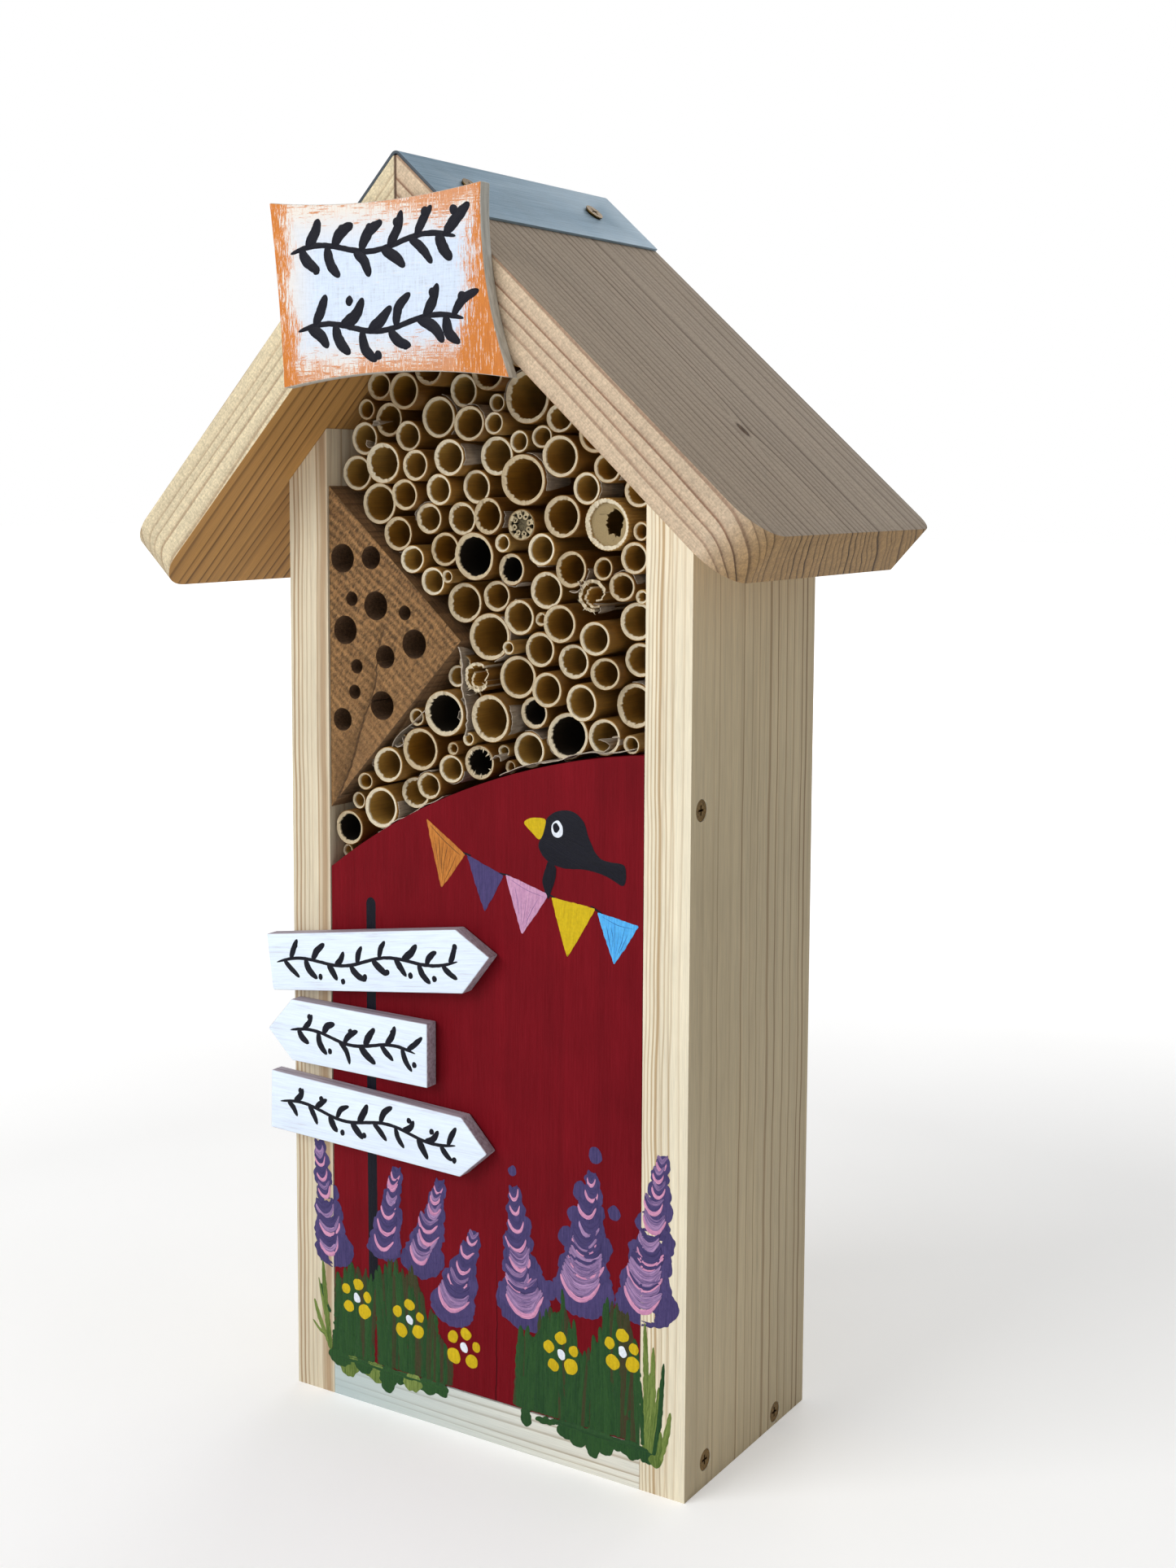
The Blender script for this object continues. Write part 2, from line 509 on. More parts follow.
def baked(obj):
    """Applies the object's modifiers"""
    bpy.context.view_layer.update()
    graph = bpy.context.evaluated_depsgraph_get()
    mesh = bpy.data.meshes.new_from_object(obj.evaluated_get(graph))
    obj.modifiers.clear()
    obj.data = mesh
    return obj


def curve(points, step=0.9, closed=False):
    """Points on a smooth curve through the given ones"""
    pts = [Vector(p) for p in points]
    n = len(pts)
    out = []
    for k in range(n if closed else n - 1):
        a, b, c, d = (pts[(k + j) % n] if closed else pts[min(max(k + j, 0), n - 1)] for j in (-1, 0, 1, 2))
        count = max(2, int((c - b).length / step))
        for i in range(count):
            t = i / count
            out.append(0.5 * (2 * b + (c - a) * t + (2 * a - 5 * b + 4 * c - d) * t * t
                              + (3 * b - a - 3 * c + d) * t ** 3))
    if not closed:
        out.append(pts[-1])
    return out


def welded(node):
    """A CAD node's surface as one bmesh, in the row frame"""
    work = bmesh.new()
    work.from_mesh(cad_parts[node].data)
    bmesh.ops.remove_doubles(work, verts=work.verts, dist=0.00002)
    return work


def board(node, mats, slot, edge=0.6, pick=None, name=None):
    """A CAD node with its arrises eased. `pick` chooses a face's material from its normal."""
    work = welded(node)
    bmesh.ops.dissolve_limit(work, angle_limit=math.radians(0.4), verts=work.verts, edges=work.edges)
    mesh = bpy.data.meshes.new(name or node + "_looks")
    for mat in mats:
        mesh.materials.append(mat)
    if pick:
        for face in work.faces:
            face.material_index = pick(face)
    work.to_mesh(mesh)
    work.free()
    mesh.shade_smooth()
    obj = bpy.data.objects.new(mesh.name, mesh)
    bpy.context.scene.collection.objects.link(obj)
    if edge:
        ease = obj.modifiers.new("ease", "BEVEL")
        ease.width = edge * MM
        ease.segments = 3
        ease.limit_method = "ANGLE"
        ease.angle_limit = math.radians(32)
        ease.harden_normals = True
        baked(obj)
    return settle(obj, slot, (node,))


def round_parts(node):
    """The separate round solids of a CAD node: centre x, z, outer and inner radius, front, floor, back"""
    work = welded(node)
    seen, parts = set(), []
    for start in work.verts:
        if start in seen:
            continue
        stack, island = [start], []
        seen.add(start)
        while stack:
            v = stack.pop()
            island.append(v.co / MM)
            for e in v.link_edges:
                other = e.other_vert(v)
                if other not in seen:
                    seen.add(other)
                    stack.append(other)
        xs, ys, zs = zip(*island)
        cx, cz = (min(xs) + max(xs)) / 2, (min(zs) + max(zs)) / 2
        outer = max(math.hypot(p[0] - cx, p[2] - cz) for p in island)
        inner = min(math.hypot(p[0] - cx, p[2] - cz) for p in island)
        floor = max((p[1] for p in island if math.hypot(p[0] - cx, p[2] - cz) < inner + 0.05))
        parts.append((cx, cz, outer, inner, min(ys), floor, max(ys)))
    work.free()
    return sorted(parts)


# ---- Boards -----------------------------------------------------------------------------------

PALE, TAN = (0.79, 0.69, 0.50), (0.50, 0.355, 0.19)
UP, BACK = (0, 0, 1), (0, 1, 0)
left_slope = (-math.cos(LEFT_PITCH), 0, -math.sin(LEFT_PITCH))
right_slope = (math.cos(RIGHT_PITCH), 0, -math.sin(RIGHT_PITCH))
ridge = (RIDGE_X, 0, RIDGE_Z)
KNOT = (-20, 129, 2.2)

right_wood = wood("right_wood", (73, FRONT, 0), UP, BACK, (-24, 58), 4.2, (0.87, 0.79, 0.60), (0.46, 0.30, 0.14), lines=0.45,
                  bands=((7.2, 0.25, 0.5), (5.9, 0.25, 0.6), (4.4, 0.3, 0.75), (2.9, 0.5, 0.85), (0.6, 0.3, 0.55), (-2.0, 0.35, 0.4)))
right_side = wood("right_side", (73, FRONT, 0), UP, (1, 0, 0), (75, -24), 5.2, (0.69, 0.57, 0.365), (0.29, 0.165, 0.072), lines=0.2,
                  fresh=0.25, bands=((18.3, 0.3, 0.5), (34.8, 0.35, 0.65), (41.0, 0.3, 0.4), (46.0, 0.3, 0.5), (54.0, 0.8, 0.6),
                                     (59.5, 0.35, 0.75), (66.0, 0.35, 0.65), (71.5, 0.3, 0.6), (78.0, 0.35, 0.8), (81.3, 0.5, 0.8)))
left_wood = wood("left_wood", (-73, FRONT, 0), UP, BACK, (-30, -66), 4.0, (0.725, 0.64, 0.47), (0.36, 0.215, 0.10), lines=0.6,
                 bands=((-6.0, 1.5, 0.75), (-3.4, 0.3, 0.5), (6.9, 0.4, 0.8), (5.0, 0.3, 0.8), (3.3, 0.35, 0.6), (1.2, 0.3, 0.4)))
back_wood = wood("back_wood", (0, REAR, 0), UP, (1, 0, 0), (-14, 46), 4.6, PALE, (0.50, 0.33, 0.16))
base_wood = wood("base_wood", (0, FRONT, 0), (1, 0, 0), BACK, (-12, 34), 3.0, (0.83, 0.81, 0.71), (0.42, 0.33, 0.22), cool=0.85)
rest_wood = wood("rest_wood", (0, 0, 100), UP, (1, 0, 0), (10, 40), 4.4, PALE, TAN)

right_face = wood("right_roof", ridge, right_slope, BACK, (190, 200), 2.6, (0.65, 0.50, 0.345), (0.25, 0.115, 0.058),
                  knot=KNOT, saw=1.0, seam=True, turned=(right_slope, (0.545, 0.335, 0.145), (0.05, 0.022, 0.009)))
right_top = wood("right_roof_top", ridge, right_slope, BACK, (190, 200), 2.6, (0.555, 0.445, 0.335), (0.17, 0.11, 0.068),
                 rough=0.8, patina=(0.47, 0.38, 0.285), knot=KNOT, saw=0.6)
right_under = wood("right_roof_under", ridge, right_slope, BACK, (190, 200), 3.4, (0.50, 0.28, 0.10), (0.15, 0.065, 0.02))
left_face = wood("left_roof", ridge, left_slope, BACK, (190, -210), 2.8, (0.75, 0.635, 0.42), (0.30, 0.165, 0.075),
                 saw=1.0, seam=True, turned=(left_slope, (0.56, 0.45, 0.29), (0.26, 0.15, 0.07)))
left_top = wood("left_roof_top", ridge, left_slope, BACK, (190, -210), 2.8, (0.555, 0.445, 0.335), (0.17, 0.11, 0.068),
                rough=0.8, patina=(0.47, 0.38, 0.285), saw=0.6)
left_under = wood("left_roof_under", ridge, left_slope, BACK, (190, -210), 3.6, (0.60, 0.315, 0.09), (0.17, 0.075, 0.018))


def roof_pick(slope):
    """Which of the three roof looks a face takes: edge, top or underside"""
    down = Vector(slope)
    out = Vector((0, 1, 0)).cross(down).normalized()
    if out.z < 0:
        out = -out

    def pick(face):
        if abs(face.normal.dot(out)) > 0.8:
            return 1 if face.normal.dot(out) > 0 else 2
        return 0
    return pick


board("base_board", [base_wood], "softwood")
board("side_board_left", [left_wood], "softwood", 0.8)
board("side_board_right", [right_wood, right_side], "softwood", 0.8, lambda face: int(face.normal.x > 0.8))
board("back_panel", [back_wood], "softwood")
board("front_panel", [red_paint()], "red_paint", 0.7)
board("tube_rest", [rest_wood], "softwood", 0.3)
board("roof_board_left", [left_face, left_top, left_under], "roof_wood", 0.9, roof_pick(left_slope))
board("roof_board_right", [right_face, right_top, right_under], "roof_wood", 0.9, roof_pick(right_slope))
cap_metal = sheet_metal("cap_metal", (0.205, 0.315, 0.405), (0.485, 0.615, 0.72), (1.0, 0.012, 1.0), 0.52)
cap_edge = sheet_metal("cap_edge", (0.04, 0.05, 0.06), (0.12, 0.14, 0.16), rough=0.6)
board("ridge_cap", [cap_metal, cap_edge], "zinc_sheet", 0.15, lambda face: int(abs(face.normal.y) > 0.8))


# ---- Screws and hanger, shown as they were made -----------------------------------------------

brass = screw_metal("brass", (0.085, 0.048, 0.014), (0.36, 0.22, 0.07))
steel = sheet_metal("plate_metal", (0.42, 0.43, 0.45), (0.60, 0.61, 0.62), (0.04, 1.0, 1.0), 0.3)
for node in ("cap_screws", "panel_screws", "base_screws", "back_screws", "hanger_screws", "hanger_plate"):
    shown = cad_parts[node]
    shown.data.materials.clear()
    shown.data.materials.append(steel if node == "hanger_plate" else brass)


# ---- Tubes ------------------------------------------------------------------------------------

skin_bamboo = cane_skin("bamboo_skin", (0.19, 0.080, 0.012), (0.43, 0.225, 0.048))
skin_reed = cane_skin("reed_skin", (0.23, 0.105, 0.02), (0.46, 0.27, 0.075))
cut = cane_cut("cane_cut", (0.60, 0.48, 0.30), (0.84, 0.75, 0.56))
bore = cane_bore("cane_bore", (0.40, 0.19, 0.016), (0.60, 0.37, 0.09))
shade_bore = cane_bore("cane_bore_dark", (0.02, 0.013, 0.007), (0.05, 0.034, 0.018), 0.8)
husk = dry_sheath()

black_inside = [(-3.3, 306.1), (10.6, 302), (-15.2, 252.7), (18, 254.5), (30.8, 247.2), (-1.9, 236.4),
                (-58.2, 208.4)]
frayed = [(-1.9, 236.4), (43, 294.3), (-2.3, 265.5)]


def near(x, z, spots, reach=4.0):
    return any(math.hypot(x - sx, z - sz) < reach for sx, sz in spots)


def tube(shell, part, teeth=1.0, cog=0):
    """One stem: slightly oval, cut by hand, with a torn inner edge and a floor at its first knot"""
    cx, cz, ro, ri, front, floor, back = part
    seg = 160 if cog else max(30, int(ro * 9))
    tone = dice.random()
    oval, turn = dice.uniform(0.0, 0.05), dice.uniform(0, math.pi)
    lean, lean_to = dice.uniform(0.0, 0.45), dice.uniform(0, 2 * math.pi)
    seed = dice.uniform(0, 500)
    dark = near(cx, cz, black_inside)
    ragged = near(cx, cz, frayed)
    torn = 2.2 if ragged else dice.choice((0.7, 1.1, 1.5, 1.9)) * teeth

    def ring(radius, y, rag=0.0, slant=1.0, bump=0.0):
        points = []
        for i in range(seg):
            t = 2 * math.pi * i / seg
            c, s = math.cos(t), math.sin(t)
            shape = 1 - oval * (0.5 + 0.5 * math.cos(2 * (t - turn)))
            if cog:
                shape -= 0.022 * max(0.0, math.cos(cog * t)) * (radius > ro - 0.5)
            wave = noise.noise(Vector((c * 1.3, s * 1.3, seed)))
            fine = noise.noise(Vector((c * ro * 1.1, s * ro * 1.1, seed + 9)))
            r = radius * shape * (1 - 0.012 * (1 + wave)) - rag * (0.5 + fine) * 0.5
            dy = slant * lean * (1 + math.cos(t - lean_to)) + bump * (0.5 + fine)
            points.append((cx + r * c, y + dy, cz + r * s))
        return points

    mid = (ro + ri) / 2
    deep = min(floor, front + 3.2 * ro)
    rings = [(ring(ro, back, slant=0), 0.0, 0), (ring(ro, front + 2.5, slant=0.6), 0.0, 0),
             (ring(ro, front + 0.35), 0.0, 0), (ring(ro - 0.22, front, 0.1, bump=0.15), 0.0, 1),
             (ring(mid, front + 0.05, bump=0.35 * torn), 0.0, 1),
             (ring(ri + 0.15, front + 0.25, 0.55 * torn, bump=0.5 * torn), 0.0, 1),
             (ring(ri, front + 0.9, 0.45 * torn, bump=0.3 * torn), 0.02, 2),
             (ring(ri, front + 2.2, 0.12), 0.06, 2), (ring(ri, front + 0.5 * ro + 3, 0.0), 0.2, 2),
             (ring(ri * 0.99, front + 1.6 * ro), 0.5, 2), (ring(ri * 0.97, deep), 1.0, 2),
             (ring(ri * 0.6, deep + 0.4), 1.0, 2)]
    points, faces, mats, depth = [], [], [], []
    for k, (loop, d, _) in enumerate(rings):
        points += loop
        depth += [d] * seg
    for k in range(len(rings) - 1):
        for i in range(seg):
            j = (i + 1) % seg
            faces.append((k * seg + i, k * seg + j, (k + 1) * seg + j, (k + 1) * seg + i))
            mats.append(rings[k][2])
    mats = [(3 if m == 2 and dark else m) for m in mats]
    for ring_at, mat in ((0, 0), (len(rings) - 1, 3 if dark else 2)):
        centre = len(points)
        y = points[ring_at * seg][1]
        points.append((cx, y, cz))
        depth.append(1.0)
        for i in range(seg):
            faces.append((ring_at * seg + i, ring_at * seg + (i + 1) % seg, centre))
            mats.append(mat)
    shell.add(points, faces, mats, tone, depth)
    if ragged:
        for _ in range(16):
            t = dice.uniform(0, 2 * math.pi)
            splinter(shell, (cx + (ri + 0.2) * math.cos(t), front + 0.5, cz + (ri + 0.2) * math.sin(t)),
                     (-math.cos(t) * dice.uniform(0.6, 1.8), dice.uniform(-0.9, 0.9), -math.sin(t) * dice.uniform(0.6, 1.8)))


def splinter(shell, root, reach, width=0.35, mat=1):
    """A torn fibre: a thin three-sided spike"""
    root, reach = Vector(root), Vector(reach)
    side = reach.cross(Vector((0, 1, 0.3))).normalized() * width
    lift = reach.cross(side).normalized() * width * 0.6
    points = [root + side, root - side, root + lift, root + reach]
    shell.add([tuple(p) for p in points], [(0, 1, 2), (0, 1, 3), (1, 2, 3), (2, 0, 3)], mat, 0.7)


for node, skin, slot, teeth in (("bamboo_large", skin_bamboo, "bamboo", 1.1),
                                ("bamboo_medium", skin_bamboo, "bamboo", 1.0),
                                ("bamboo_small", skin_bamboo, "bamboo", 0.8),
                                ("reed_stems", skin_reed, "reed", 0.6)):
    group = Shell()
    for part in round_parts(node):
        tube(group, part, teeth)
    group.piece(node + "_looks", [skin, cut, bore, shade_bore], slot, (node,))

def film(shell, path, front, deep, thick=0.22, rag=0.7):
    """A papery sheet standing on edge: it follows `path` and runs back from `front`, torn along its front"""
    line = curve(path, 1.1)
    n = len(line)
    seed = dice.uniform(0, 900)
    points, faces = [], []
    for k, p in enumerate(line):
        lead = (line[min(k + 1, n - 1)] - line[max(k - 1, 0)]).normalized()
        side = Vector((-lead.y, lead.x)) * thick / 2
        lip = front + rag * (0.6 + noise.noise(Vector((p.x * 0.55, p.y * 0.55, seed)))
                             + 0.5 * noise.noise(Vector((p.x * 2.1, p.y * 2.1, seed + 5))))
        shut = min(1.0, 0.15 + k * 0.4, 0.15 + (n - 1 - k) * 0.4)
        curl = Vector((-lead.y, lead.x)) * 0.35 * noise.noise(Vector((k * 0.3, 0, seed)))
        for q, y in ((p + side + curl, lip), (p - side + curl, lip), (p - side, lip + deep * shut), (p + side, lip + deep * shut)):
            points.append((q.x, y, q.y))
    for k in range(n - 1):
        for j in range(4):
            a, b = 4 * k + j, 4 * k + (j + 1) % 4
            faces.append((a, b, b + 4, a + 4))
    faces += [(0, 1, 2, 3), tuple(4 * n - 4 + j for j in range(4))]
    shell.add(points, faces, 0, dice.random())


def arc(cx, cz, r, a0, a1, count=9):
    return [(cx + r * math.cos(a0 + (a1 - a0) * k / count), cz + r * math.sin(a0 + (a1 - a0) * k / count))
            for k in range(count + 1)]


# The thick stem is closed just behind its mouth by a wall with an off-centre, torn hole
(cx, cz, ro, _, front, floor, back), = round_parts("thick_stem")
stem = Shell()
tube(stem, (cx, cz, ro, ro - 1.5, front, floor, back), 1.4, cog=40)
seg, mouth, points = 64, ro - 1.35, []
for r, dx, y, torn in ((mouth, 0.0, 1.5, 0), (mouth * 0.72, 0.4, 1.9, 0), (3.5, 1.7, 2.3, 1), (3.6, 1.7, 3.2, 1),
                       (mouth, 0.0, 3.2, 0)):
    for i in range(seg):
        t = 2 * math.pi * i / seg
        c, s = math.cos(t), math.sin(t)
        q = r * (1 + torn * (0.45 * noise.noise(Vector((c * 1.6, s * 1.6, 3.3)))
                             + 0.25 * noise.noise(Vector((c * 6, s * 6, 8.1)))))
        points.append((cx + dx + q * c, front + y, cz + 0.9 * torn + q * s * (1 + 0.25 * torn)))
faces = [(k * seg + i, k * seg + (i + 1) % seg, (k + 1) % 5 * seg + (i + 1) % seg, (k + 1) % 5 * seg + i)
         for k in range(5) for i in range(seg)]
stem.add(points, faces, 4, 0.35)
septum = cane_cut("septum_cut", (0.30, 0.22, 0.10), (0.48, 0.375, 0.20))
stem.piece("thick_stem_looks", [skin_reed, cut, bore, shade_bore, septum], "bamboo", ("thick_stem",))



def sliver(shell, centre, outer, wall, a0, a1, front, back, rag=1.2, looks=(0, 1, 2)):
    """Part of a split tube's wall between two angles, with splintered ends.
    `looks` are the materials of its front, inside and outside."""
    seed = dice.uniform(0, 500)
    steps = max(8, int(abs(a1 - a0) * outer * 1.6))
    points, faces, mats = [], [], []
    for k in range(steps + 1):
        t = a0 + (a1 - a0) * k / steps
        c, s = math.cos(t), math.sin(t)
        chip = rag * (0.6 + noise.noise(Vector((c * 3, s * 3, seed))) + 0.5 * noise.noise(Vector((c * 11, s * 11, seed))))
        thin = wall * (0.75 + 0.35 * noise.noise(Vector((c * 4, s * 4, seed + 3))))
        for r, y in ((outer, front + chip), (outer - thin, front + chip + 0.2), (outer - thin, back), (outer, back)):
            points.append((centre[0] + r * c, y, centre[1] + r * s))
    for k in range(steps):
        for j, mat in enumerate(looks + looks[2:]):
            a, b = 4 * k + j, 4 * k + (j + 1) % 4
            faces.append((a, b, b + 4, a + 4))
            mats.append(mat)
    faces += [(0, 1, 2, 3), tuple(4 * steps + j for j in range(4))]
    shell.add(points, faces, mats + [looks[0]] * 2, dice.uniform(0.3, 0.8))


splits = Shell()
for (cx, cz, ro, ri, front, floor, back), opening in zip(round_parts("split_stems"), (0.2, -0.5)):
    sliver(splits, (cx, cz), ro, ro - ri + 0.3, opening + 0.75, opening + 5.4, front, back)
    sliver(splits, (cx + 0.8, cz - 0.5), ro * 0.66, 0.9, opening + 2.2, opening + 5.9, front - 0.3, back - 8, 1.8)
    sliver(splits, (cx + 1.4, cz + 0.8), ro * 0.5, 0.8, opening - 1.3, opening + 1.1, front + 0.6, back - 20, 1.8)
    for _ in range(14):
        t = opening + dice.uniform(0.7, 5.5)
        root = (cx + (ro - 0.5) * math.cos(t), front + 0.8, cz + (ro - 0.5) * math.sin(t))
        splinter(splits, root, [dice.uniform(-1.6, 1.6), dice.uniform(-1.5, 0.2), dice.uniform(-1.6, 1.6)], 0.3, 0)
splits.piece("split_stems_looks", [cut, bore, skin_bamboo], "bamboo", ("split_stems",))

# The pith has shrunk into knobs along the wall, with dark hollows between them
pithy = cane_cut("pith_cut", (0.10, 0.08, 0.04), (0.20, 0.165, 0.09))
pith_rim = cane_cut("pith_rim", (0.40, 0.32, 0.18), (0.62, 0.52, 0.34))
(cx, cz, ro, _, front, floor, back), = round_parts("pith_stem")
pith = Shell()
black_inside.append((cx, cz))
tube(pith, (cx, cz, ro, ro - 0.8, front, front + 7, back), 0.8)
for knob in range(8):
    t = 2 * math.pi * (knob + 0.35) / 8
    sliver(pith, (cx, cz), ro - 0.6, 1.3, t - 0.22, t + 0.22, front + 0.1, front + 6.5, 0.3, (1, 4, 4))
    hub = (cx + (ro - 2.35) * math.cos(t), cz + (ro - 2.35) * math.sin(t))
    sliver(pith, hub, 1.0, 0.8, t, t + 2 * math.pi, front + 0.3, front + 6.5, 0.5, (1, 4, 4))
ring = []
for k in range(40):
    t = 2 * math.pi * k / 40
    ring.append((ro - 3.1 + 0.45 * math.sin(8 * t + 1.2) + 0.3 * noise.noise(Vector((math.cos(t) * 3, math.sin(t) * 3, 4.0))), t))
points = [(cx + r * math.cos(t), front + 1.6 + 0.4 * noise.noise(Vector((t * 3, 0, 9))), cz + r * math.sin(t)) for r, t in ring]
points += [(cx + r * math.cos(t), front + 6.8, cz + r * math.sin(t)) for r, t in ring]
points += [(cx, front + 2.4, cz), (cx, front + 6.8, cz)]
faces = [(k, (k + 1) % 40, 40 + (k + 1) % 40, 40 + k) for k in range(40)]
faces += [(k, (k + 1) % 40, 80) for k in range(40)] + [(40 + k, 40 + (k + 1) % 40, 81) for k in range(40)]
pith.add(points, faces, 4, 0.2)
pith.piece("pith_stem_looks", [skin_bamboo, pith_rim, bore, shade_bore, pithy], "reed", ("pith_stem",))

# Leaf sheaths: loose wraps round some tubes, and strips along the panel, the wall and the block
wraps = Shell()
for node in ("bamboo_large", "bamboo_medium", "bamboo_small"):
    for cx, cz, ro, ri, front, floor, back in round_parts(node):
        if dice.random() < 0.34:
            a0 = dice.uniform(0, 2 * math.pi)
            film(wraps, arc(cx, cz, ro + 0.18, a0, a0 + dice.uniform(0.8, 2.4)), front + dice.uniform(-0.2, 1.2), 14, 0.16)
rise = lambda x: 229.8 + (x - 0.8) * (244.6 - 194.5) / 127.9 - (x - 0.8) ** 2 * 0.0024
film(wraps, [(x, rise(x) + 1.3 + 0.5 * math.sin(x)) for x in range(-44, -14, 4)], PANEL + 0.6, 16, 0.25, 1.0)
film(wraps, [(x, rise(x) + 1.2 + 0.5 * math.sin(x * 1.3)) for x in range(8, 64, 4)], PANEL + 0.4, 16, 0.25, 1.0)
film(wraps, [(64.2, 251), (64.25, 270), (64.2, 290), (64.25, 305)], FRONT + 1.2, 14, 0.16, 0.8)
film(wraps, [(-8.9, 275.5), (-8.2, 270.5), (-7.9, 264.5), (-7.3, 260), (-6.0, 254), (-5.8, 249.5), (-6.6, 245.5)], FRONT + 0.6, 8, 0.5, 1.2)
film(wraps, [(-39, 238.5), (-35.5, 243.5), (-30, 247.6), (-24.5, 252.6), (-19, 258)], FRONT + 1.4, 14, 0.2, 1.0)
for x, z, size in ((-36, 241, 3.0), (-31, 245, 2.4), (-9, 252, 3.4), (-6, 258, 2.6), (6, 238, 2.6), (47, 245.5, 3.4),
                   (52, 247.5, 2.6), (-47, 233, 2.2), (36, 297, 3.0), (44, 290, 2.6), (-49, 344, 2.6), (-44, 350, 2.2)):
    turn = dice.uniform(0, 2 * math.pi)
    film(wraps, [(x + size * math.cos(turn + 1.1 * j) * (0.5 + 0.2 * j), z + size * math.sin(turn + 1.1 * j) * (0.5 + 0.1 * j))
                 for j in range(4)], FRONT + dice.uniform(1.0, 3.5), 9, 0.2, 1.6)
wraps.piece("leaf_sheaths", [husk], "reed", smooth=50)


# ---- Nesting block ----------------------------------------------------------------------------

block_side = wood("block_side", (-60, 0, 270), BACK, UP, (40, 60), 3.0, (0.24, 0.135, 0.06), (0.13, 0.07, 0.03), saw=1.0)


def block_pick(face):
    if face.normal.y < -0.9:
        return 1
    return 2 if face.calc_area() < 0.0001 or len(face.verts) > 30 and abs(face.normal.y) < 0.1 else 0


block = board("nesting_block", [block_side, end_grain(), hole_wall()], "block_wood", 0.35, block_pick)
crack = Shell()
split = curve([(-40.2, 281), (-42.1, 275), (-43.7, 267), (-44.1, 262), (-46.3, 255.5), (-49.8, 247.5), (-52.1, 241),
               (-54.3, 234.3), (-56.5, 229), (-59.5, 223), (-62.6, 217)], 1.0)
face_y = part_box("nesting_block")[0].y / MM
points, faces = [], []
for k, p in enumerate(split):
    half = 0.10 + 0.42 * min(1.0, 1.6 * k / len(split)) + 0.10 * noise.noise(Vector((k * 0.7, 2.0, 0)))
    jag = 0.5 * noise.noise(Vector((k * 0.5, 7.0, 0)))
    for y, w in ((face_y - 1, half), (face_y + 12, 0.05)):
        points += [(p.x + jag - w, y, p.y), (p.x + jag + w, y, p.y)]
for k in range(len(split) - 1):
    for a, b in ((0, 1), (1, 3), (3, 2), (2, 0)):
        faces.append((4 * k + a, 4 * k + b, 4 * k + 4 + b, 4 * k + 4 + a))
last = 4 * len(split) - 4
faces += [(0, 1, 3, 2), (last, last + 1, last + 3, last + 2)]
crack.add(points, faces)
cutter = crack.piece("cutter", [shade_bore], "block_wood")
cutting = block.modifiers.new("crack", "BOOLEAN")
cutting.operation, cutting.object, cutting.solver = "DIFFERENCE", cutter, "EXACT"
baked(block)
bpy.data.objects.remove(cutter)


# ---- Signs ------------------------------------------------------------------------------------

for node, axis in (("arrow_sign_upper", (-0.98, 0, -0.14)), ("arrow_sign_middle", (1, 0, 0)),
                   ("arrow_sign_lower", (1, 0, 0.02))):
    board(node, [white_paint(node + "_paint", axis)], "white_paint", 0.5)
board("gable_sign", [gable_paint()], "white_paint", 0.5)


# ---- Brushwork --------------------------------------------------------------------------------

def on_house(x, z):
    """The y of the house front under a brush: the panel, or the frame boards just before it"""
    side = min(max((abs(x) - 64.3) / 0.6, 0.0), 1.0)
    base = min(max((15.5 - z) / 0.6, 0.0), 1.0)
    return PANEL + (FRONT - PANEL) * max(side, base)


def on_sign(node):
    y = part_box(node)[0].y / MM
    return lambda x, z: y


def stroke(shell, path, width, level=0, tone=None, face=on_house, rag=0.10, taper=0.5):
    """A brush stroke: a thin closed ribbon with a low crown that narrows towards its ends.
    `taper` is the share of the length over which it narrows: one number or one for each end."""
    line = curve(path, 0.7)
    n = len(line)
    tone = dice.random() if tone is None else tone
    seed = dice.uniform(0, 900)
    high = 0.07 + 0.016 * level + dice.uniform(0, 0.008)
    ends = taper if isinstance(taper, tuple) else (taper, taper)
    points, uv, faces = [], [], []
    for k, p in enumerate(line):
        t = k / (n - 1)
        lead = (line[min(k + 1, n - 1)] - line[max(k - 1, 0)]).normalized()
        side = Vector((-lead.y, lead.x))
        w = width / 2
        for s, share in ((t, ends[0]), (1 - t, ends[1])):
            if share > 0 and s < share:
                w *= math.sqrt(max(0.02, 1 - (1 - s / share) ** 2))
        for s, up in ((-1, None), (-0.82, 0.75), (0, 1.0), (0.82, 0.75), (1, None)):
            ragged = 1 + rag * noise.noise(Vector((k * 0.45, s * 3, seed)))
            q = p + side * s * w * ragged
            y = face(q.x, q.y) + (0.05 if up is None else -high * up)
            points.append((q.x, y, q.y))
            uv.append((k * 0.7, s * width / 2 + seed))
    for k in range(n - 1):
        for j in range(5):
            a, b = k * 5 + j, k * 5 + (j + 1) % 5
            faces.append((a, b, b + 5, a + 5))
    faces += [(0, 1, 2, 3, 4), tuple(n * 5 - 5 + j for j in range(5))]
    shell.add(points, faces, 0, tone, 0.0, uv)


